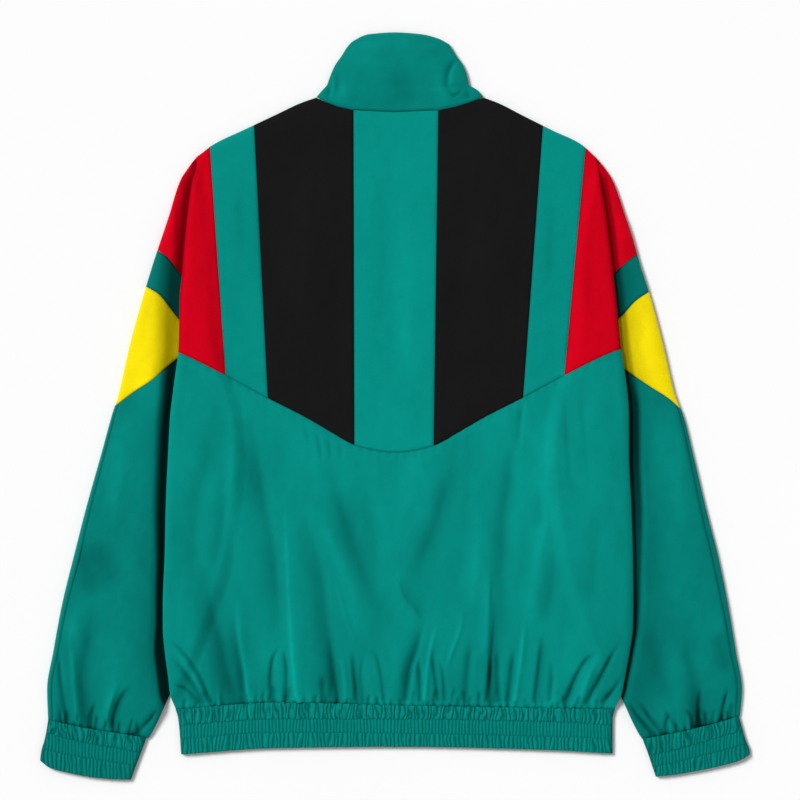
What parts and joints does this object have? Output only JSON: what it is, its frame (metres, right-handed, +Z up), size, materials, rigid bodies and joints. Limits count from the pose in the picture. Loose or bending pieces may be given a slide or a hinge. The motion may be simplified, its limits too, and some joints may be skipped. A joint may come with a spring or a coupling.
{
  "type": "windproof training jacket",
  "caption": "Windproof training jacket laid flat with its back up, with a striped yoke, banded sleeves, a stand collar and elasticated cuffs and hem.",
  "frame": {"origin": "centre of the jacket's outline on the surface that it lies on", "axes": "+X towards the wearer's right sleeve, +Y from the hem to the collar, +Z up, out of the back of the jacket"},
  "size_m": [0.7537, 0.7934, 0.0097],
  "materials": {
    "green_cloth": "crisp woven polyester with a soft sheen",
    "black_cloth": "crisp woven polyester with a soft sheen",
    "red_cloth": "crisp woven polyester with a soft sheen",
    "yellow_cloth": "crisp woven polyester with a soft sheen",
    "zip_plastic": "satin"
  },
  "bodies": {
    "root": {"back_stripe_centre": "green_cloth", "back_stripe_black_left": "black_cloth", "back_stripe_black_right": "black_cloth", "back_stripe_side_left": "green_cloth", "back_stripe_side_right": "green_cloth", "shoulder_red_left": "red_cloth", "shoulder_red_right": "red_cloth", "lower_back": "green_cloth", "hem_band_back": "green_cloth", "sleeve_band_green_back_left": "green_cloth", "sleeve_band_green_back_right": "green_cloth", "sleeve_band_green_front_left": "green_cloth", "sleeve_band_green_front_right": "green_cloth", "sleeve_band_yellow_back_left": "yellow_cloth", "sleeve_band_yellow_back_right": "yellow_cloth", "sleeve_band_yellow_front_left": "yellow_cloth", "sleeve_band_yellow_front_right": "yellow_cloth", "sleeve_back_left": "green_cloth", "sleeve_back_right": "green_cloth", "sleeve_front_left": "green_cloth", "sleeve_front_right": "green_cloth", "cuff_back_left": "green_cloth", "cuff_back_right": "green_cloth", "cuff_front_left": "green_cloth", "cuff_front_right": "green_cloth", "collar_back": "green_cloth", "collar_front_left": "green_cloth", "collar_front_right": "green_cloth", "front_left": "green_cloth", "front_right": "green_cloth", "hem_band_front_left": "green_cloth", "hem_band_front_right": "green_cloth", "shoulder_front_left": "red_cloth", "shoulder_front_right": "red_cloth", "zip": "zip_plastic", "zip_slider": "zip_plastic"}
  },
  "joints": []
}
